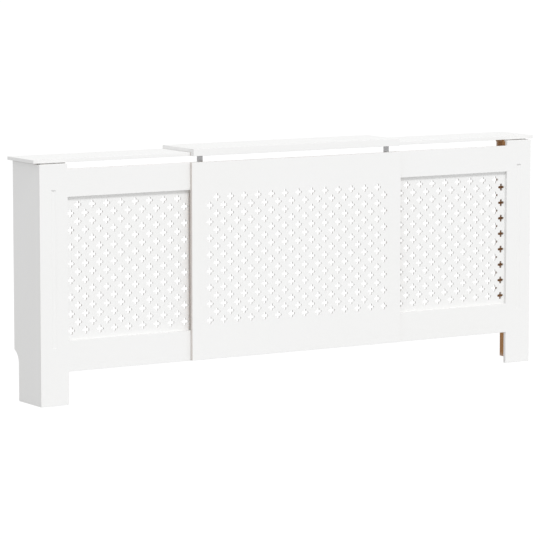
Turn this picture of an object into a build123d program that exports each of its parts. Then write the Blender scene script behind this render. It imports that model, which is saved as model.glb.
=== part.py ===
from build123d import *
import os

# Telescopic radiator cover cabinet: two end sections that stand on the floor,
# and a middle sleeve (front panel and top board) that they slide into.
# Frame: origin at the middle of the footprint, on the floor. +X to the right,
# -Y to the room (front), +Y to the wall, +Z up. Millimetres.

os.makedirs("parts", exist_ok=True)

# ---------------------------------------------------------------- dimensions
half_width = 1000.0        # centre line to the outer face of a side panel
front_y = -92.75           # front face of the end sections' front frames
board = 12.0               # thickness of front frames and top boards
side_thick = 15.0          # thickness of the side panels
side_back_y = front_y + 191.0
side_foot_back_y = front_y + 159.5
skirting_top_z = 172.0     # top of the cut-out that clears the skirting board
skirting_arc_z = 127.0
skirting_arc_r = 48.0

frame_bottom_z = 112.5     # lower edge of the front frames, between the legs
middle_bottom_z = 114.0    # lower edge of the middle panel
frame_top_z = 789.0        # upper edge of the front, below the heat slot
carcass_top_z = 807.0      # stiles and side panels stop short of the top boards
leg_width = 105.0          # width of stile and leg
frame_length = 620.0       # length of an end section's front frame
opening_end = 594.0        # inner end of the opening, from the outer face
opening_z0, opening_z1 = 216.0, 696.0

flute_x = 52.5             # flute centre, from the outer face
flute_r, flute_depth = 18.0, 2.4
flute_z0, flute_z1 = 193.0, 720.8
notch_r, notch_depth, notch_h = 10.6, 5.0, 6.0   # deeper notch that ends the flute at its top

grille_thick = 5.0
grille_lap = 10.0          # the grille laps the back of the frame by this
pitch_x, pitch_z = 27.34, 28.07
cross_span, cross_arm = 26.5, 9.2
end_columns, middle_columns, rows = 17, 27, 16
first_column = 121.4       # first column of crosses, from the outer face
end_first_row_z, middle_first_row_z = 246.3, 247.1

top_under_z = 810.5        # underside of the end sections' top boards
top_front_y = front_y + 9.5
top_back_y = front_y + 198.0
top_overhang = 16.3

middle_half = 426.0        # half length of the middle front panel
middle_gap = 0.5           # running gap between the panels
middle_front_y = front_y - middle_gap - board
middle_top_half = 419.0
middle_top_z = top_under_z + board + middle_gap
lip_depth = 20.0
lip_height = board + middle_gap
sheet = 5.0                # pierced sheet of the middle panel
strip = board - sheet      # strips glued behind its edges
strip_x = 384.0            # inner edges of the strips
strip_z0, strip_z1 = 218.0, 694.0

guide_gap = 0.5
guide_y = front_y + board + guide_gap     # front face of the guide rails
guide_thick, guide_height, guide_half = 12.0, 34.0, 420.0
upper_guide_z, lower_guide_z = 716.0, 140.0
spacer_half = 15.0

edge = 1.0                 # eased edges

# ------------------------------------------------------------ perforation
with BuildSketch() as cross:
    SlotOverall(cross_span, cross_arm)
    SlotOverall(cross_span, cross_arm, rotation=90)

one_cross = cross.sketch


def lattice(first_x, columns, first_z):
    points = []
    for c in range(columns):
        for r in range(rows):
            if (r + c) % 2 == 0:
                points.append((first_x + c * pitch_x, first_z + r * pitch_z))
    return points


# ------------------------------------------------------------ side panels
with BuildPart() as left_side_panel:
    with BuildSketch(Plane.YZ.offset(-half_width)):
        with BuildLine():
            l1 = Polyline(
                (side_foot_back_y, skirting_arc_z),
                (side_foot_back_y, 0),
                (front_y + board, 0),
                (front_y + board, carcass_top_z),
                (side_back_y, carcass_top_z),
                (side_back_y, skirting_top_z))
            RadiusArc((side_foot_back_y, skirting_arc_z), (side_back_y, skirting_top_z), skirting_arc_r)
        make_face()
    extrude(amount=side_thick)
    chamfer(left_side_panel.faces().filter_by(Axis.Z).sort_by(Axis.Z)[0].edges().filter_by(Axis.Y), 0.8)
left_side_panel.part.label = "left_side_panel"

with BuildPart() as right_side_panel:
    mirror(left_side_panel.part, about=Plane.YZ)
right_side_panel.part.label = "right_side_panel"

# ------------------------------------------------------------ front frames
with BuildPart() as left_front_frame:
    with BuildSketch(Plane.XZ.offset(-(front_y + board))):
        with BuildLine():
            Polyline(
                (-half_width, 0),
                (-half_width + leg_width, 0),
                (-half_width + leg_width, frame_bottom_z),
                (-half_width + frame_length, frame_bottom_z),
                (-half_width + frame_length, frame_top_z),
                (-half_width + leg_width, frame_top_z),
                (-half_width + leg_width, carcass_top_z),
                (-half_width, carcass_top_z),
                close=True)
        make_face()
        with Locations((-half_width + (leg_width + opening_end) / 2, (opening_z0 + opening_z1) / 2)):
            Rectangle(opening_end - leg_width, opening_z1 - opening_z0, mode=Mode.SUBTRACT)
    extrude(amount=board)
    front_face = left_front_frame.faces().filter_by(Axis.Y).sort_by(Axis.Y)[0]
    fillet(front_face.edges(), edge)
    with Locations((-half_width + flute_x, front_y - flute_r + flute_depth, (flute_z0 + flute_z1) / 2)):
        Cylinder(flute_r, flute_z1 - flute_z0, mode=Mode.SUBTRACT)
    with Locations((-half_width + flute_x, front_y - notch_r + notch_depth, flute_z1 - notch_h / 2)):
        Cylinder(notch_r, notch_h, mode=Mode.SUBTRACT)
left_front_frame.part.label = "left_front_frame"

with BuildPart() as right_front_frame:
    mirror(left_front_frame.part, about=Plane.YZ)
right_front_frame.part.label = "right_front_frame"

# ------------------------------------------------------------ end grilles
grille_x0 = -half_width + leg_width - grille_lap
grille_x1 = -half_width + opening_end + grille_lap
with BuildPart() as left_grille:
    with BuildSketch(Plane.XZ.offset(-(front_y + board + grille_thick))):
        with Locations(((grille_x0 + grille_x1) / 2, (opening_z0 + opening_z1) / 2)):
            Rectangle(grille_x1 - grille_x0, opening_z1 - opening_z0 + 2 * grille_lap)
        with Locations(*lattice(-half_width + first_column, end_columns, end_first_row_z)):
            add(one_cross, mode=Mode.SUBTRACT, clean=False)
    extrude(amount=grille_thick, clean=False)
left_grille.part.label = "left_grille"

with BuildPart() as right_grille:
    mirror(left_grille.part, about=Plane.YZ)
right_grille.part.label = "right_grille"

# staples that hold the grille to the back of the frame
staple_wire, staple_crown, staple_leg = 1.2, 12.0, 10.0
staple_y = front_y + board + grille_thick
staple_spots = []
for sx in (-half_width + leg_width - 5, -half_width + opening_end + 5):
    for sz in (262.0, 384.0, 528.0, 650.0):
        staple_spots.append((sx, sz, True))
for sx in (-half_width + 190.0, -half_width + 352.5, -half_width + 515.0):
    for sz in (opening_z0 - 5, opening_z1 + 5):
        staple_spots.append((sx, sz, False))
with BuildPart() as left_grille_staples:
    for sx, sz, upright in staple_spots:
        w, h = (staple_wire, staple_crown) if upright else (staple_crown, staple_wire)
        dx, dz = (0, (staple_crown - staple_wire) / 2) if upright else ((staple_crown - staple_wire) / 2, 0)
        with Locations((sx, staple_y + staple_wire / 2, sz)):
            Box(w, staple_wire, h)
        with Locations((sx - dx, staple_y - staple_leg / 2, sz - dz), (sx + dx, staple_y - staple_leg / 2, sz + dz)):
            Box(staple_wire, staple_leg, staple_wire)
left_grille_staples.part.label = "left_grille_staples"

with BuildPart() as right_grille_staples:
    mirror(left_grille_staples.part, about=Plane.YZ)
right_grille_staples.part.label = "right_grille_staples"

# ------------------------------------------------------------ end top boards
with BuildPart() as left_top_board:
    with BuildSketch(Plane.XY.offset(top_under_z)):
        with Locations((-half_width - top_overhang, top_front_y)):
            Rectangle(top_overhang + frame_length, top_back_y - top_front_y, align=(Align.MIN, Align.MIN))
    extrude(amount=board)
    outer = left_top_board.faces().sort_by(Axis.X)[0].edges() + left_top_board.faces().sort_by(Axis.Y)[0].edges()
    fillet(outer.filter_by(GeomType.LINE), edge)
left_top_board.part.label = "left_top_board"

with BuildPart() as right_top_board:
    mirror(left_top_board.part, about=Plane.YZ)
right_top_board.part.label = "right_top_board"

# ------------------------------------------------------------ battens and cleats
corner_sz = 20.0
corner_x = -half_width + side_thick
corner_y = front_y + board
with BuildPart() as left_corner_batten:
    with BuildSketch(Plane.XY.offset(25.0)):
        with Locations((corner_x, corner_y)):
            Rectangle(corner_sz, corner_sz, align=(Align.MIN, Align.MIN))
    extrude(amount=755.0)
    # clearance holes for the screws, three to the frame and three to the side
    with Locations(Plane((corner_x + 10, corner_y + corner_sz, 0), x_dir=(1, 0, 0), z_dir=(0, 1, 0))):
        with Locations((0, -90.0), (0, -400.0), (0, -700.0)):
            CounterSinkHole(radius=2.1, counter_sink_radius=4.0, depth=corner_sz)
    with Locations(Plane((corner_x + corner_sz, corner_y + 10, 0), x_dir=(0, 1, 0), z_dir=(1, 0, 0))):
        with Locations((0, 130.0), (0, 440.0), (0, 740.0)):
            CounterSinkHole(radius=2.1, counter_sink_radius=4.0, depth=corner_sz)
left_corner_batten.part.label = "left_corner_batten"

with BuildPart() as right_corner_batten:
    mirror(left_corner_batten.part, about=Plane.YZ)
right_corner_batten.part.label = "right_corner_batten"

# wood screw: countersunk head at z = 0, shank along -Z
with BuildPart() as long_screw:
    with BuildSketch(Plane.XZ):
        with BuildLine():
            Polyline((0, -0.2), (1.1, -0.2), (1.1, -1.2), (1.6, -1.2), (1.6, -0.2), (3.7, -0.2), (2.0, -1.95), (2.0, -24.0),
                     (0, -28.0), close=True)
        make_face()
    revolve(axis=Axis.Z)
long_screw_solid = long_screw.part

with BuildPart() as short_screw:
    with BuildSketch(Plane.XZ):
        with BuildLine():
            Polyline((0, 1.8), (0.9, 1.8), (0.9, 0.9), (1.5, 0.9), (1.5, 1.8), (2.4, 1.5), (3.4, 0.5), (3.4, 0), (1.7, 0),
                     (1.7, -8.0), (0, -10.5), close=True)
        make_face()
    revolve(axis=Axis.Z)
short_screw_solid = short_screw.part

with BuildPart() as guide_screw:
    with BuildSketch(Plane.XZ):
        with BuildLine():
            Polyline((0, -0.2), (1.1, -0.2), (1.1, -1.2), (1.6, -1.2), (1.6, -0.2), (3.7, -0.2), (2.0, -1.95), (2.0, -30.0),
                     (0, -34.0), close=True)
        make_face()
    revolve(axis=Axis.Z)
guide_screw_solid = guide_screw.part

cleat_y0, cleat_y1 = corner_y + corner_sz + 4, top_back_y - 28.0
cleat_h, cleat_w = 20.0, 18.0
with BuildPart() as left_side_cleat:
    with BuildSketch(Plane.XY.offset(top_under_z - cleat_h)):
        with Locations((corner_x, cleat_y0)):
            Rectangle(cleat_w, cleat_y1 - cleat_y0, align=(Align.MIN, Align.MIN))
    extrude(amount=cleat_h)
    with Locations(Plane((corner_x + 10, 0, top_under_z - cleat_h), x_dir=(1, 0, 0), z_dir=(0, 0, -1))):
        with Locations((0, -(cleat_y0 + 15)), (0, -(cleat_y1 - 15))):
            CounterSinkHole(radius=2.1, counter_sink_radius=4.0, depth=cleat_h)
    with Locations(Plane((corner_x + cleat_w, 0, top_under_z - cleat_h / 2), x_dir=(0, 1, 0), z_dir=(1, 0, 0))):
        with Locations((cleat_y0 + 40, 0), (cleat_y1 - 40, 0)):
            CounterSinkHole(radius=2.1, counter_sink_radius=4.0, depth=cleat_w)
left_side_cleat.part.label = "left_side_cleat"

with BuildPart() as right_side_cleat:
    mirror(left_side_cleat.part, about=Plane.YZ)
right_side_cleat.part.label = "right_side_cleat"

rail_y1 = side_back_y - 1.0
with BuildPart() as left_rear_rail:
    with BuildSketch(Plane.XY.offset(top_under_z - 15.0)):
        with Locations((corner_x, rail_y1 - 18.0)):
            Rectangle(frame_length - side_thick, 18.0, align=(Align.MIN, Align.MIN))
    extrude(amount=15.0)
left_rear_rail.part.label = "left_rear_rail"

with BuildPart() as right_rear_rail:
    mirror(left_rear_rail.part, about=Plane.YZ)
right_rear_rail.part.label = "right_rear_rail"

# block behind the top of the stile, under the top board, rebated behind the gap above the stile
block_h = 20.0
rebate_depth, rebate_h = 5.0, 6.0
block_spots = [(corner_x + 25.0, corner_y + 13.5), (corner_x + 70.0, corner_y + 13.5)]
with BuildPart() as left_top_block:
    with BuildSketch(Plane.XY.offset(top_under_z - block_h)):
        with Locations((corner_x, corner_y)):
            Rectangle(leg_width - side_thick, corner_sz, align=(Align.MIN, Align.MIN))
    extrude(amount=block_h)
    with BuildSketch(Plane.XY.offset(top_under_z - rebate_h)):
        with Locations((corner_x, corner_y)):
            Rectangle(leg_width - side_thick, rebate_depth, align=(Align.MIN, Align.MIN))
    extrude(amount=rebate_h, mode=Mode.SUBTRACT)
    with Locations(*[Plane((x, y, top_under_z - block_h), x_dir=(1, 0, 0), z_dir=(0, 0, -1)) for x, y in block_spots]):
        CounterSinkHole(radius=2.1, counter_sink_radius=4.0, depth=block_h)
left_top_block.part.label = "left_top_block"

with BuildPart() as right_top_block:
    mirror(left_top_block.part, about=Plane.YZ)
right_top_block.part.label = "right_top_block"

# screws of an end section: corner batten to frame and side, cleat to top and side, block to top
with BuildPart() as left_carcass_screws:
    with Locations(*[Plane((corner_x + 10, corner_y + corner_sz, z), x_dir=(1, 0, 0), z_dir=(0, 1, 0))
                     for z in (90.0, 400.0, 700.0)]):
        add(long_screw_solid)
    with Locations(*[Plane((corner_x + corner_sz, corner_y + 10, z), x_dir=(0, 1, 0), z_dir=(1, 0, 0))
                     for z in (130.0, 440.0, 740.0)]):
        add(long_screw_solid)
    with Locations(*[Plane((corner_x + 10, y, top_under_z - cleat_h), x_dir=(1, 0, 0), z_dir=(0, 0, -1))
                     for y in (cleat_y0 + 15, cleat_y1 - 15)]):
        add(long_screw_solid)
    with Locations(*[Plane((corner_x + cleat_w, y, top_under_z - cleat_h / 2), x_dir=(0, 1, 0), z_dir=(1, 0, 0))
                     for y in (cleat_y0 + 40, cleat_y1 - 40)]):
        add(long_screw_solid)
    with Locations(*[Plane((x, y, top_under_z - block_h), x_dir=(1, 0, 0), z_dir=(0, 0, -1)) for x, y in block_spots]):
        add(long_screw_solid)
left_carcass_screws.part.label = "left_carcass_screws"

with BuildPart() as right_carcass_screws:
    mirror(left_carcass_screws.part, about=Plane.YZ)
right_carcass_screws.part.label = "right_carcass_screws"

# ------------------------------------------------------------ wall angles
angle_z0, angle_h, angle_t = 718.0, 44.0, 2.0
angle_leg = 25.0
wall_hole_x = -half_width + side_thick + 15.0
wall_hole_z = angle_z0 + angle_h / 2
with BuildPart() as left_wall_angle:
    with BuildSketch(Plane.XY.offset(angle_z0)):
        with BuildLine():
            Polyline(
                (corner_x, side_back_y - 30.0),
                (corner_x + angle_t, side_back_y - 30.0),
                (corner_x + angle_t, side_back_y - angle_t),
                (corner_x + angle_leg, side_back_y - angle_t),
                (corner_x + angle_leg, side_back_y),
                (corner_x, side_back_y),
                close=True)
        make_face()
    extrude(amount=angle_h)
    upright_edges = left_wall_angle.edges().filter_by(Axis.Z)
    fillet(upright_edges.filter_by(
        lambda e: abs(e.center().X - corner_x - angle_t) < 0.01 and abs(e.center().Y - side_back_y + angle_t) < 0.01), 1.5)
    with Locations(Plane((wall_hole_x, side_back_y, wall_hole_z), x_dir=(1, 0, 0), z_dir=(0, 1, 0))):
        Hole(radius=2.75, depth=angle_t)
    with Locations(Plane((corner_x + angle_t, side_back_y - 19.0, wall_hole_z), x_dir=(0, 1, 0), z_dir=(1, 0, 0))):
        with Locations((0, 12.0), (0, -12.0)):
            Hole(radius=1.9, depth=angle_t)
left_wall_angle.part.label = "left_wall_angle"

with BuildPart() as right_wall_angle:
    mirror(left_wall_angle.part, about=Plane.YZ)
right_wall_angle.part.label = "right_wall_angle"

with BuildPart() as left_wall_angle_screws:
    with Locations(*[Plane((corner_x + angle_t, side_back_y - 19.0, wall_hole_z + d), x_dir=(0, 1, 0), z_dir=(1, 0, 0))
                     for d in (12.0, -12.0)]):
        add(short_screw_solid)
left_wall_angle_screws.part.label = "left_wall_angle_screws"

with BuildPart() as right_wall_angle_screws:
    mirror(left_wall_angle_screws.part, about=Plane.YZ)
right_wall_angle_screws.part.label = "right_wall_angle_screws"

# ------------------------------------------------------------ middle front panel
# a pierced sheet, with strips glued behind its four edges
with BuildPart() as middle_front_panel:
    with BuildSketch(Plane.XZ.offset(-(middle_front_y + sheet))):
        with Locations((0, (middle_bottom_z + frame_top_z) / 2)):
            Rectangle(2 * middle_half, frame_top_z - middle_bottom_z)
    extrude(amount=sheet)
    fillet(middle_front_panel.faces().filter_by(Axis.Y).sort_by(Axis.Y)[0].edges(), edge)
    with BuildSketch(Plane.XZ.offset(-(middle_front_y + sheet))):
        with Locations(*lattice(-pitch_x * (middle_columns - 1) / 2, middle_columns, middle_first_row_z)):
            add(one_cross, clean=False)
    extrude(amount=sheet, mode=Mode.SUBTRACT, clean=False)
middle_front_panel.part.label = "middle_front_panel"

strip_plane = Plane.XZ.offset(-(middle_front_y + board))
with BuildPart() as middle_left_strip:
    with BuildSketch(strip_plane):
        with Locations((-(middle_half + strip_x) / 2, (strip_z0 + strip_z1) / 2)):
            Rectangle(middle_half - strip_x, strip_z1 - strip_z0)
    extrude(amount=strip)
middle_left_strip.part.label = "middle_left_strip"

with BuildPart() as middle_right_strip:
    mirror(middle_left_strip.part, about=Plane.YZ)
middle_right_strip.part.label = "middle_right_strip"

with BuildPart() as middle_top_strip:
    with BuildSketch(strip_plane):
        with Locations((0, (strip_z1 + frame_top_z) / 2)):
            Rectangle(2 * middle_half, frame_top_z - strip_z1)
    extrude(amount=strip)
middle_top_strip.part.label = "middle_top_strip"

with BuildPart() as middle_bottom_strip:
    with BuildSketch(strip_plane):
        with Locations((0, (middle_bottom_z + strip_z0) / 2)):
            Rectangle(2 * middle_half, strip_z0 - middle_bottom_z)
    extrude(amount=strip)
middle_bottom_strip.part.label = "middle_bottom_strip"

# ------------------------------------------------------------ middle top and lip
with BuildPart() as middle_top_board:
    with BuildSketch(Plane.XY.offset(middle_top_z)):
        with Locations((0, middle_front_y)):
            Rectangle(2 * middle_top_half, top_back_y - middle_front_y, align=(Align.CENTER, Align.MIN))
    extrude(amount=board)
    fillet(middle_top_board.faces().sort_by(Axis.Z)[-1].edges(), edge)
middle_top_board.part.label = "middle_top_board"

with BuildPart() as middle_top_lip:
    with BuildSketch(Plane.XY.offset(top_under_z)):
        with Locations((0, middle_front_y)):
            Rectangle(2 * middle_top_half, lip_depth, align=(Align.CENTER, Align.MIN))
    extrude(amount=lip_height)
    fillet(middle_top_lip.faces().sort_by(Axis.Z)[0].edges().filter_by(Axis.X).sort_by(Axis.Y)[0], edge)
middle_top_lip.part.label = "middle_top_lip"

# ------------------------------------------------------------ guide rails and spacers
strap_x0, strap_x1 = -391.0, -369.0
strap_x = (strap_x0 + strap_x1) / 2
strap_t = 1.5
strap_foot_z = upper_guide_z + 2.0
strap_screw_zs = (upper_guide_z + 9.0, upper_guide_z + 25.0)
screw_drop = 9.0           # screw holes above and below the middle of a rail
with BuildPart() as upper_guide_rail:
    with BuildSketch(Plane.XZ.offset(-(guide_y + guide_thick))):
        with Locations((0, upper_guide_z + guide_height / 2)):
            Rectangle(2 * guide_half, guide_height)
    extrude(amount=guide_thick)
    chamfer(upper_guide_rail.faces().filter_by(Axis.Y).sort_by(Axis.Y)[0].edges().filter_by(Axis.Z), 3.0)
    with Locations(Plane((0, guide_y + guide_thick, upper_guide_z + guide_height / 2), x_dir=(1, 0, 0), z_dir=(0, 1, 0))):
        with Locations((0, screw_drop), (0, -screw_drop)):
            CounterSinkHole(radius=2.1, counter_sink_radius=4.0, depth=guide_thick)
    # recesses that let the straps in flush with its front face
    with BuildSketch(Plane.XZ.offset(-(guide_y + strap_t))):
        with Locations((strap_x, (strap_foot_z + upper_guide_z + guide_height) / 2),
                       (-strap_x, (strap_foot_z + upper_guide_z + guide_height) / 2)):
            Rectangle(strap_x1 - strap_x0, upper_guide_z + guide_height - strap_foot_z)
    extrude(amount=strap_t, mode=Mode.SUBTRACT)
upper_guide_rail.part.label = "upper_guide_rail"

with BuildPart() as lower_guide_rail:
    with BuildSketch(Plane.XZ.offset(-(guide_y + guide_thick))):
        with Locations((0, lower_guide_z + guide_height / 2)):
            Rectangle(2 * guide_half, guide_height)
    extrude(amount=guide_thick)
    chamfer(lower_guide_rail.faces().filter_by(Axis.Y).sort_by(Axis.Y)[0].edges().filter_by(Axis.Z), 3.0)
    with Locations(Plane((0, guide_y + guide_thick, lower_guide_z + guide_height / 2), x_dir=(1, 0, 0), z_dir=(0, 1, 0))):
        with Locations((0, screw_drop), (0, -screw_drop)):
            CounterSinkHole(radius=2.1, counter_sink_radius=4.0, depth=guide_thick)
lower_guide_rail.part.label = "lower_guide_rail"

spacer_thick = guide_y - (middle_front_y + board)
with BuildPart() as upper_guide_spacer:
    with BuildSketch(Plane.XZ.offset(-guide_y)):
        with Locations((0, upper_guide_z + guide_height / 2)):
            Rectangle(2 * spacer_half, guide_height)
        with Locations((0, upper_guide_z + guide_height / 2 + screw_drop), (0, upper_guide_z + guide_height / 2 - screw_drop)):
            Circle(2.1, mode=Mode.SUBTRACT)
    extrude(amount=spacer_thick)
upper_guide_spacer.part.label = "upper_guide_spacer"

with BuildPart() as lower_guide_spacer:
    with BuildSketch(Plane.XZ.offset(-guide_y)):
        with Locations((0, lower_guide_z + guide_height / 2)):
            Rectangle(2 * spacer_half, guide_height)
        with Locations((0, lower_guide_z + guide_height / 2 + screw_drop), (0, lower_guide_z + guide_height / 2 - screw_drop)):
            Circle(2.1, mode=Mode.SUBTRACT)
    extrude(amount=spacer_thick)
lower_guide_spacer.part.label = "lower_guide_spacer"

# screws through rail and spacer into the panel
guide_screw_zs = [z + guide_height / 2 + d for z in (upper_guide_z, lower_guide_z) for d in (screw_drop, -screw_drop)]
with BuildPart() as guide_rail_screws:
    with Locations(*[Plane((0, guide_y + guide_thick, z), x_dir=(1, 0, 0), z_dir=(0, 1, 0)) for z in guide_screw_zs]):
        add(guide_screw_solid)
guide_rail_screws.part.label = "guide_rail_screws"

# ------------------------------------------------------------ lip straps
# steel straps from the back of the lip down to the upper rail, cranked under the end top boards
strap_top_z = top_under_z + 11.5
strap_front_y = middle_front_y + lip_depth
crank_z0, crank_z1 = top_under_z - 2.0, top_under_z - 2.0 + strap_t
with BuildPart() as left_lip_strap:
    with BuildSketch(Plane.YZ.offset(strap_x0)):
        with BuildLine():
            Polyline(
                (strap_front_y, strap_top_z),
                (strap_front_y, crank_z0),
                (guide_y, crank_z0),
                (guide_y, strap_foot_z),
                (guide_y + strap_t, strap_foot_z),
                (guide_y + strap_t, crank_z1),
                (strap_front_y + strap_t, crank_z1),
                (strap_front_y + strap_t, strap_top_z),
                close=True)
        make_face()
    extrude(amount=strap_x1 - strap_x0)
    for by, bz, bend in ((strap_front_y, crank_z0, 2.0), (strap_front_y + strap_t, crank_z1, 0.5),
                         (guide_y + strap_t, crank_z1, 2.0), (guide_y, crank_z0, 0.5)):
        fillet(left_lip_strap.edges().filter_by(Axis.X).filter_by(
            lambda e: abs(e.center().Y - by) < 0.01 and abs(e.center().Z - bz) < 0.01), bend)
    with Locations(*[Plane((strap_x, guide_y, z), x_dir=(1, 0, 0), z_dir=(0, -1, 0)) for z in strap_screw_zs]):
        CounterSinkHole(radius=1.6, counter_sink_radius=2.9, depth=strap_t)
    with Locations(*[Plane((strap_x + d, strap_front_y + strap_t, top_under_z + 6), x_dir=(1, 0, 0), z_dir=(0, 1, 0))
                     for d in (-5.5, 5.5)]):
        CounterSinkHole(radius=1.6, counter_sink_radius=2.9, depth=strap_t)
left_lip_strap.part.label = "left_lip_strap"

with BuildPart() as right_lip_strap:
    mirror(left_lip_strap.part, about=Plane.YZ)
right_lip_strap.part.label = "right_lip_strap"

# flat-head screws of the straps, in the lip and in the upper rail
with BuildPart() as flat_screw:
    with BuildSketch(Plane.XZ):
        with BuildLine():
            Polyline((0, -0.1), (2.7, -0.1), (1.5, -1.3), (1.5, -8.0), (0, -10.0), close=True)
        make_face()
    revolve(axis=Axis.Z)
flat_screw_solid = flat_screw.part

with BuildPart() as strap_screws:
    with Locations(*[Plane((s * strap_x, guide_y, z), x_dir=(1, 0, 0), z_dir=(0, -1, 0))
                     for s in (-1, 1) for z in strap_screw_zs]):
        add(flat_screw_solid)
    with Locations(*[Plane((s * strap_x + d, strap_front_y + strap_t, top_under_z + 6), x_dir=(1, 0, 0), z_dir=(0, 1, 0))
                     for s in (-1, 1) for d in (5.5, -5.5)]):
        add(flat_screw_solid)
strap_screws.part.label = "strap_screws"

# ------------------------------------------------------------ export
for piece in (left_side_panel, right_side_panel, left_front_frame, right_front_frame,
              left_grille, right_grille, left_grille_staples, right_grille_staples,
              left_top_board, right_top_board, left_corner_batten, right_corner_batten,
              left_side_cleat, right_side_cleat, left_rear_rail, right_rear_rail,
              left_top_block, right_top_block,
              left_carcass_screws, right_carcass_screws,
              left_wall_angle, right_wall_angle, left_wall_angle_screws, right_wall_angle_screws,
              middle_front_panel, middle_left_strip, middle_right_strip, middle_top_strip, middle_bottom_strip,
              middle_top_board, middle_top_lip,
              upper_guide_rail, lower_guide_rail, upper_guide_spacer, lower_guide_spacer,
              guide_rail_screws, left_lip_strap, right_lip_strap, strap_screws):
    export_step(piece.part, "parts/" + piece.part.label + ".step")
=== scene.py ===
import math

import bpy
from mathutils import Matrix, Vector


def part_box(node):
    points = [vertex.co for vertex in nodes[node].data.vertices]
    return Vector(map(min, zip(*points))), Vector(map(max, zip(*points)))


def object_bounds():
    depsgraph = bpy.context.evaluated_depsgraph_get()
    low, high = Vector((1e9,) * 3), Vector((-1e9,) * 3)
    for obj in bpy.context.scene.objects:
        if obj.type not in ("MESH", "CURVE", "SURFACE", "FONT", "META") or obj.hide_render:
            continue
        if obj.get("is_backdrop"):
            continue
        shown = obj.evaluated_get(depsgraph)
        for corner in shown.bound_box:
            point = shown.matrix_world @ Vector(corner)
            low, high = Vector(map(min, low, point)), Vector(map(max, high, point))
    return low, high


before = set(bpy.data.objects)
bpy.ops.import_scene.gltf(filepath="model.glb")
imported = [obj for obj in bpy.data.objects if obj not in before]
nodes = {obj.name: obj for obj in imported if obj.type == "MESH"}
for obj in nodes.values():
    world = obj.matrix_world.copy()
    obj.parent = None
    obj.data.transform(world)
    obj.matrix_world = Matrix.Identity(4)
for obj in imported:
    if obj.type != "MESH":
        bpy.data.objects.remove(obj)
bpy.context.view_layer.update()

HALF = 1.0          # centre line to the outer side face, metres
FRONT_Y = -0.09275  # front face of the end frames


# ------------------------------------------------------------ node helpers
class Tree:
    """Builds a material's nodes with short calls. Sockets or plain numbers go in, sockets come out."""

    def __init__(self, name):
        self.mat = bpy.data.materials.new(name)
        self.mat.use_nodes = True
        self.t = self.mat.node_tree
        self.t.nodes.clear()
        self.out = self.t.nodes.new("ShaderNodeOutputMaterial")
        self.coord = self.t.nodes.new("ShaderNodeTexCoord")
        self.pos = self.coord.outputs["Object"]
        self.nor = self.coord.outputs["Normal"]

    def put(self, socket, value):
        if isinstance(value, bpy.types.NodeSocket):
            self.t.links.new(value, socket)
        else:
            socket.default_value = value

    def math(self, op, a, b=0.0, c=0.0, clamp=False):
        n = self.t.nodes.new("ShaderNodeMath")
        n.operation, n.use_clamp = op, clamp
        for s, v in zip(n.inputs, (a, b, c)):
            self.put(s, v)
        return n.outputs[0]

    def xyz(self, vector):
        n = self.t.nodes.new("ShaderNodeSeparateXYZ")
        self.put(n.inputs[0], vector)
        return n.outputs[0], n.outputs[1], n.outputs[2]

    def ramp(self, value, lo, hi, to_lo=0.0, to_hi=1.0):
        n = self.t.nodes.new("ShaderNodeMapRange")
        n.interpolation_type = "SMOOTHSTEP"
        for k, v in (("Value", value), ("From Min", lo), ("From Max", hi), ("To Min", to_lo), ("To Max", to_hi)):
            self.put(n.inputs[k], v)
        return n.outputs["Result"]

    def noise(self, scale, detail=3.0, rough=0.55, stretch=(1, 1, 1), shift=(0, 0, 0)):
        m = self.t.nodes.new("ShaderNodeMapping")
        self.put(m.inputs["Vector"], self.pos)
        m.inputs["Scale"].default_value = stretch
        m.inputs["Location"].default_value = shift
        n = self.t.nodes.new("ShaderNodeTexNoise")
        self.t.links.new(m.outputs[0], n.inputs["Vector"])
        n.inputs["Scale"].default_value = scale
        n.inputs["Detail"].default_value = detail
        n.inputs["Roughness"].default_value = rough
        return n.outputs["Fac"]

    def mix(self, fac, a, b):
        n = self.t.nodes.new("ShaderNodeMix")
        n.data_type = "RGBA"
        self.put(n.inputs["Factor"], fac)
        self.put(n.inputs["A"], a if isinstance(a, bpy.types.NodeSocket) else (*a, 1.0))
        self.put(n.inputs["B"], b if isinstance(b, bpy.types.NodeSocket) else (*b, 1.0))
        return n.outputs["Result"]

    def bump(self, height, strength, distance):
        n = self.t.nodes.new("ShaderNodeBump")
        n.inputs["Strength"].default_value = strength
        n.inputs["Distance"].default_value = distance
        self.put(n.inputs["Height"], height)
        return n.outputs["Normal"]

    def finish(self, color, roughness, normal=None, metallic=0.0, specular=0.5):
        b = self.t.nodes.new("ShaderNodeBsdfPrincipled")
        self.put(b.inputs["Base Color"], color)
        self.put(b.inputs["Roughness"], roughness)
        b.inputs["Metallic"].default_value = metallic
        b.inputs["Specular IOR Level"].default_value = specular
        if normal is not None:
            self.put(b.inputs["Normal"], normal)
        self.t.links.new(b.outputs[0], self.out.inputs["Surface"])
        return self.mat


# ------------------------------------------------------------ colours (linear)
PAINT = (0.885, 0.885, 0.881)
PAINT_THIN = (0.720, 0.673, 0.636)   # edges where the lacquer has sunk into the board
PAINT_SHADED = (0.665, 0.660, 0.650)   # painted shade: a greyer white for the crosses' cut sides, the window sills and the top boards' rounded front edges
FIBRE_MID = (0.480, 0.246, 0.100)
FIBRE_DARK = (0.325, 0.161, 0.064)
FIBRE_LIGHT = (0.590, 0.345, 0.160)


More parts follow.
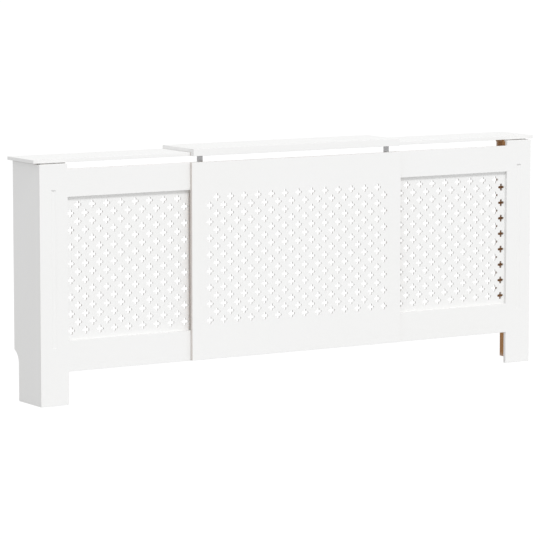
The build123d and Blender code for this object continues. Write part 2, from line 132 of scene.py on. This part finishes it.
def fibreboard(t):
    """Raw fibreboard: fine felted fibres with darker flecks, and slow changes of tone."""
    fine = t.noise(900.0, 4.0, 0.7)
    flecks = t.noise(260.0, 2.0, 0.6, stretch=(1.0, 1.0, 1.6), shift=(3.1, 0.7, 1.9))
    slow = t.noise(4.5, 2.0, 0.5, shift=(7.0, 2.0, 4.0))
    c = t.mix(t.ramp(fine, 0.36, 0.68), FIBRE_MID, FIBRE_LIGHT)
    c = t.mix(t.ramp(flecks, 0.56, 0.74, 0.0, 0.75), c, FIBRE_DARK)
    c = t.mix(t.ramp(slow, 0.30, 0.72, 0.0, 0.22), c, FIBRE_DARK)
    return c, fine


def board(name, raw_side, fringe=None, thin_edge=None, lacquer_painted_shade=None, shade=None, peel_strength=0.12):
    """Lacquered board. raw_side gives the share of bare board from the tree, fringe the distance in metres to the
    edge that the spray came over, thin_edge the share of thinly covered edge, lacquer_painted_shade the share of
    painted shade on the lacquer (a greyer white), shade the share of painted shade (a darker tone) on the bare board."""
    t = Tree(name)
    fibre, fine = fibreboard(t)
    # painted shade: the bare board's fibre is darkened where the shade mask asks for it
    if shade is not None:
        fibre = t.mix(shade(t), fibre, (FIBRE_DARK[0] * 0.62, FIBRE_DARK[1] * 0.64, FIBRE_DARK[2] * 0.74))
    raw = raw_side(t)
    if fringe is not None:
        wander = t.noise(38.0, 3.0, 0.6, shift=(1.3, 5.0, 2.2))
        reach = t.math("ADD", fringe(t), t.math("MULTIPLY", t.math("SUBTRACT", wander, 0.5), 0.030))
        dust = t.noise(1500.0, 1.0, 0.5, shift=(0.4, 9.1, 6.0))
        veil = t.math("MULTIPLY", t.ramp(reach, -0.004, 0.014, 1.0, 0.0), t.ramp(dust, 0.34, 0.66, 0.30, 1.0))
        raw = t.math("MULTIPLY", raw, t.math("SUBTRACT", 1.0, t.math("MULTIPLY", veil, 0.55)))
    # the lacquer's own unevenness
    cloud = t.noise(2.2, 2.0, 0.5)
    paint = t.mix(t.ramp(cloud, 0.25, 0.75, 0.0, 1.0), PAINT, (PAINT[0] * 0.992, PAINT[1] * 0.991, PAINT[2] * 0.987))
    if thin_edge is not None:
        patch = t.noise(120.0, 3.0, 0.6, stretch=(1, 1, 0.35), shift=(2.0, 1.0, 8.0))
        paint = t.mix(t.math("MULTIPLY", thin_edge(t), t.ramp(patch, 0.25, 0.75, 0.78, 1.0)), paint, PAINT_THIN)
    # painted shade: a greyer white mixed into the lacquer where the mask says the surface should look less lit
    if lacquer_painted_shade is not None:
        paint = t.mix(lacquer_painted_shade(t), paint, PAINT_SHADED)
    color = t.mix(raw, paint, fibre)
    peel = t.noise(420.0, 2.0, 0.45, shift=(5.0, 1.0, 3.0))
    rough = t.math("ADD", t.ramp(peel, 0.3, 0.7, 0.48, 0.56), t.math("MULTIPLY", raw, 0.42))
    height = t.math("ADD", t.math("MULTIPLY", peel, t.math("SUBTRACT", 1.0, raw)),
                    t.math("MULTIPLY", fine, t.math("MULTIPLY", raw, 2.2)))
    return t.finish(color, rough, t.bump(height, peel_strength, 0.0002))


def facing(t, axis, sign, lo=0.55, hi=0.80):
    """Share of surface that faces along +axis or -axis."""
    n = t.xyz(t.nor)[axis]
    return t.ramp(t.math("MULTIPLY", n, float(sign)), lo, hi)


def cross_walls_painted_shade(t):
    """Painted shade on the cut sides of the pierced crosses, which face sideways, up and down: a greyer white standing
    in for the shade in the holes.
    """
    return t.math("MULTIPLY", t.math("SUBTRACT", 1.0, t.math("ABSOLUTE", t.xyz(t.nor)[1])), 0.78)


def front_arris_painted_shade(t):
    """Painted shade on the rounded upper front edge of a top board: a greyer white that tones down the light the edge
    catches.
    """
    n = t.xyz(t.nor)
    return t.ramp(t.math("MINIMUM", t.math("MULTIPLY", n[1], -1.0), n[2]), 0.20, 0.60, 0.0, 0.35)


def sill_painted_shade(t):
    """Painted shade on the upward faces at the foot of the windows: a greyer white that tones down the light they
    catch.
    """
    return t.math("MULTIPLY", t.ramp(t.xyz(t.nor)[2], 0.2, 0.6), t.ramp(t.xyz(t.pos)[2], 0.22, 0.23, 0.35, 0.0))


def box_edge(t, axes, lo, hi):
    """Distance in metres to the nearest of the given sides of a box."""
    p, found = t.xyz(t.pos), None
    for a in axes:
        for d in (t.math("SUBTRACT", p[a], lo[a]), t.math("SUBTRACT", hi[a], p[a])):
            found = d if found is None else t.math("MINIMUM", found, d)
    return found


def give(name, mat):
    o = nodes[name]
    if not o.material_slots:
        o.data.materials.append(mat)
    for s in o.material_slots:
        s.material = mat


# ------------------------------------------------------------ lacquered boards
for side, s in (("left", -1), ("right", 1)):
    lo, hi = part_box(side + "_side_panel")
    give(side + "_side_panel", board(
        side + "_side_lacquer",
        lambda t, s=s: facing(t, 0, -s),
        lambda t, lo=lo, hi=hi: box_edge(t, (1, 2), lo, hi),
        # painted shade: the bare inner face is darker at mid-height than near the floor and the heat slot, where the
        # light comes in
        shade=lambda t: t.math("MULTIPLY", t.ramp(t.xyz(t.pos)[2], 0.10, 0.26, 0.0, 0.84),
                               t.ramp(t.xyz(t.pos)[2], 0.73, 0.80, 1.0, 0.20))))

    lo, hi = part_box(side + "_front_frame")
    give(side + "_front_frame", board(
        side + "_frame_lacquer",
        lambda t: facing(t, 1, 1),
        lambda t, lo=lo, hi=hi: box_edge(t, (0, 2), lo, hi),
        # the frame's outer edge, beside the side panel's face, takes a little less lacquer
        lambda t, s=s: t.math("MULTIPLY", facing(t, 0, s, 0.80, 0.95), 0.07),
        lacquer_painted_shade=sill_painted_shade))

    lo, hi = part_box(side + "_grille")
    give(side + "_grille", board(
        side + "_grille_lacquer",
        lambda t: facing(t, 1, 1, 0.80, 0.95),
        lacquer_painted_shade=cross_walls_painted_shade))

    lo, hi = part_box(side + "_top_board")
    # the underside is lacquered as far in as it can be seen, round the rim
    give(side + "_top_board", board(
        side + "_top_lacquer",
        lambda t, lo=lo, hi=hi: t.math("MULTIPLY", facing(t, 2, -1), t.ramp(box_edge(t, (0, 1), lo, hi), 0.016, 0.022)),
        lacquer_painted_shade=front_arris_painted_shade,
        peel_strength=0.05))


def middle_edges(t):
    """Both upright edges of the middle panel show the board through thin lacquer. The strips behind the sheet end
    flush with it and share the same edges."""
    x = t.math("ABSOLUTE", t.xyz(t.pos)[0])
    return t.math("MULTIPLY", t.ramp(x, 0.4250, 0.4256), t.ramp(t.math("ABSOLUTE", t.xyz(t.nor)[0]), 0.30, 0.90))


def middle_walls_painted_shade(t):
    """Painted shade on the crosses' cut sides in the middle panel, not its outer edges."""
    return t.math("MULTIPLY", cross_walls_painted_shade(t), t.ramp(t.math("ABSOLUTE", t.xyz(t.pos)[0]), 0.400, 0.4005, 1.0, 0.0))


lo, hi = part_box("middle_front_panel")
give("middle_front_panel", board(
    "middle_panel_lacquer",
    lambda t: facing(t, 1, 1, 0.80, 0.95),
    lambda t, lo=lo, hi=hi: box_edge(t, (0, 2), lo, hi),
    middle_edges,
    middle_walls_painted_shade))
# the glued strips are bare, apart from the outer edges that were sprayed together with the sheet
strip_mat = board(
    "middle_strip_lacquer",
    lambda t, lo=lo, hi=hi: t.ramp(box_edge(t, (0, 2), lo, hi), 0.0002, 0.0009),
    lambda t, lo=lo, hi=hi: box_edge(t, (0, 2), lo, hi),
    middle_edges)
for n in ("left", "right", "top", "bottom"):
    give("middle_" + n + "_strip", strip_mat)
lo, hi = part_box("middle_top_board")
give("middle_top_board", board(
    "middle_top_lacquer",
    lambda t: facing(t, 2, -1),
    lambda t, lo=lo, hi=hi: box_edge(t, (0, 1), lo, hi),
    lacquer_painted_shade=front_arris_painted_shade,
    peel_strength=0.05))
lo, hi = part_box("middle_top_lip")
give("middle_top_lip", board(
    "top_lip_lacquer",
    lambda t: facing(t, 1, 1),
    None))


# the blocks behind the stiles' tops were lacquered on the outer side and in the rebate that looks out above the
# stile, and are bare toward the heat slot and behind
def block_raw(t, s):
    behind = t.math("MULTIPLY", t.ramp(t.xyz(t.pos)[1], -0.0755, -0.0745), t.math("SUBTRACT", 1.0, facing(t, 0, s)))
    return t.math("MAXIMUM", behind, facing(t, 0, -s))


for side, s in (("left", -1), ("right", 1)):
    give(side + "_top_block", board(side + "_block_lacquer", lambda t, s=s: block_raw(t, s)))


# ------------------------------------------------------------ bare board and batten
def bare_board(name):
    t = Tree(name)
    fibre, fine = fibreboard(t)
    # sawn edges are rougher and darker than the pressed faces
    sawn = t.ramp(t.math("ABSOLUTE", t.xyz(t.nor)[1]), 0.5, 0.8, 1.0, 0.0)
    lines = t.noise(700.0, 2.0, 0.6, stretch=(0.05, 1.0, 1.0))
    color = t.mix(t.math("MULTIPLY", sawn, t.ramp(lines, 0.35, 0.65, 0.25, 0.65)), fibre, FIBRE_DARK)
    return t.finish(color, t.ramp(fine, 0.3, 0.7, 0.74, 0.90), t.bump(fine, 0.45, 0.0004))


def softwood(name, along):
    """Planed softwood: growth bands drawn out along the piece, fine grain and a few darker streaks."""
    t = Tree(name)
    stretch = [1.0, 1.0, 1.0]
    stretch[along] = 0.045
    bands = t.noise(95.0, 2.0, 0.45, stretch=tuple(stretch), shift=(1.0, 4.0, 2.0))
    grain = t.noise(1400.0, 3.0, 0.6, stretch=tuple(stretch), shift=(0.0, 2.0, 9.0))
    slow = t.noise(6.0, 2.0, 0.5, shift=(3.0, 3.0, 1.0))
    c = t.mix(t.ramp(bands, 0.38, 0.62), (0.640, 0.435, 0.235), (0.470, 0.275, 0.120))
    c = t.mix(t.ramp(grain, 0.45, 0.75, 0.0, 0.35), c, (0.360, 0.200, 0.085))
    c = t.mix(t.ramp(slow, 0.3, 0.7, 0.0, 0.20), c, (0.720, 0.520, 0.300))
    height = t.math("ADD", t.math("MULTIPLY", bands, 0.6), t.math("MULTIPLY", grain, 0.4))
    return t.finish(c, t.ramp(grain, 0.3, 0.7, 0.55, 0.70), t.bump(height, 0.30, 0.0003))


bare = bare_board("bare_board")
for n in ("upper_guide_rail", "lower_guide_rail", "upper_guide_spacer", "lower_guide_spacer"):
    give(n, bare)
upright, across, lengthwise = softwood("batten_upright", 2), softwood("cleat_across", 1), softwood("rail_lengthwise", 0)
for side in ("left", "right"):
    give(side + "_corner_batten", upright)
    give(side + "_side_cleat", across)
    give(side + "_rear_rail", lengthwise)


# ------------------------------------------------------------ zinc plated steel
def zinc(name, tone, rough):
    t = Tree(name)
    crystals = t.t.nodes.new("ShaderNodeTexVoronoi")
    t.t.links.new(t.pos, crystals.inputs["Vector"])
    crystals.inputs["Scale"].default_value = 420.0
    grey = t.t.nodes.new("ShaderNodeRGBToBW")
    t.t.links.new(crystals.outputs["Color"], grey.inputs[0])
    streak = t.noise(1200.0, 2.0, 0.5, stretch=(1.0, 1.0, 0.06))
    c = t.mix(t.ramp(grey.outputs[0], 0.2, 0.8, 0.0, 1.0), (tone, tone, tone * 1.01), (tone * 0.86, tone * 0.865, tone * 0.88))
    return t.finish(c, t.ramp(streak, 0.3, 0.7, rough - 0.05, rough + 0.06), t.bump(streak, 0.12, 0.0001), metallic=1.0)


plate, hardware = zinc("zinc_plate", 0.600, 0.42), zinc("zinc_screw", 0.640, 0.30)
for side in ("left", "right"):
    give(side + "_lip_strap", plate)
    give(side + "_wall_angle", plate)
    for n in ("_grille_staples", "_carcass_screws", "_wall_angle_screws"):
        give(side + n, hardware)
for n in ("guide_rail_screws", "strap_screws"):
    give(n, hardware)

# ------------------------------------------------------------ floor
bpy.ops.mesh.primitive_plane_add(size=160.0, location=(0, 0, 0))
floor = bpy.context.object
floor.name = "studio_floor"
t = Tree("studio_floor_white")
seen = t.t.nodes.new("ShaderNodeLightPath").outputs["Is Camera Ray"]
glow = t.t.nodes.new("ShaderNodeEmission")          # a lit table, so light comes up evenly close to the object too
glow.inputs["Strength"].default_value = 0.31
soak = t.t.nodes.new("ShaderNodeBsdfDiffuse")
soak.inputs["Color"].default_value = (0.34, 0.34, 0.34, 1)
wash = t.t.nodes.new("ShaderNodeAddShader")
t.t.links.new(glow.outputs[0], wash.inputs[0])
t.t.links.new(soak.outputs[0], wash.inputs[1])
bright = t.t.nodes.new("ShaderNodeEmission")
bright.inputs["Strength"].default_value = 0.99
pale = t.t.nodes.new("ShaderNodeBsdfDiffuse")
pale.inputs["Color"].default_value = (0.06, 0.06, 0.06, 1)
both = t.t.nodes.new("ShaderNodeAddShader")
t.t.links.new(bright.outputs[0], both.inputs[0])
t.t.links.new(pale.outputs[0], both.inputs[1])
pick = t.t.nodes.new("ShaderNodeMixShader")
t.t.links.new(seen, pick.inputs[0])
t.t.links.new(wash.outputs[0], pick.inputs[1])
t.t.links.new(both.outputs[0], pick.inputs[2])
t.t.links.new(pick.outputs[0], t.out.inputs["Surface"])
floor.data.materials.append(t.mat)
floor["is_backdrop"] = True

# ------------------------------------------------------------ light
world = bpy.data.worlds.new("studio")
bpy.context.scene.world = world
world.use_nodes = True
w = world.node_tree
w.nodes.clear()
sky = w.nodes.new("ShaderNodeBackground")
sky.inputs["Color"].default_value = (1, 1, 1, 1)
sky.inputs["Strength"].default_value = 0.797
white = w.nodes.new("ShaderNodeBackground")
white.inputs["Color"].default_value = (1, 1, 1, 1)
white.inputs["Strength"].default_value = 1.05
ray = w.nodes.new("ShaderNodeLightPath")
pick = w.nodes.new("ShaderNodeMixShader")
out = w.nodes.new("ShaderNodeOutputWorld")
w.links.new(ray.outputs["Is Camera Ray"], pick.inputs[0])
w.links.new(sky.outputs[0], pick.inputs[1])
w.links.new(white.outputs[0], pick.inputs[2])
w.links.new(pick.outputs[0], out.inputs["Surface"])

key_data = bpy.data.lights.new("key", "SUN")
key_data.angle = math.radians(16)
key_data.energy = 1.32
key = bpy.data.objects.new("key", key_data)
bpy.context.scene.collection.objects.link(key)
toward = Vector((0.0, -0.683, 0.730)).normalized()
key.rotation_mode = "QUATERNION"
key.rotation_quaternion = toward.to_track_quat("Z", "Y")

# ------------------------------------------------------------ camera
cam_data = bpy.data.cameras.new("camera")
cam_data.sensor_width = 36.0
cam_data.lens = 3219.7 / 540 * 36.0
cam_data.clip_end = 400.0
cam = bpy.data.objects.new("camera", cam_data)
bpy.context.scene.collection.objects.link(cam)
cam.location = (-5.91214, -9.45253, 1.73141)
cam.rotation_euler = (math.radians(90 - 6.878), 0.0, math.radians(-31.803))
bpy.context.scene.camera = cam

bpy.context.scene.view_settings.view_transform = "Standard"
bpy.context.scene.view_settings.look = "None"

# ------------------------------------------------------------ sizes
lo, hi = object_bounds()
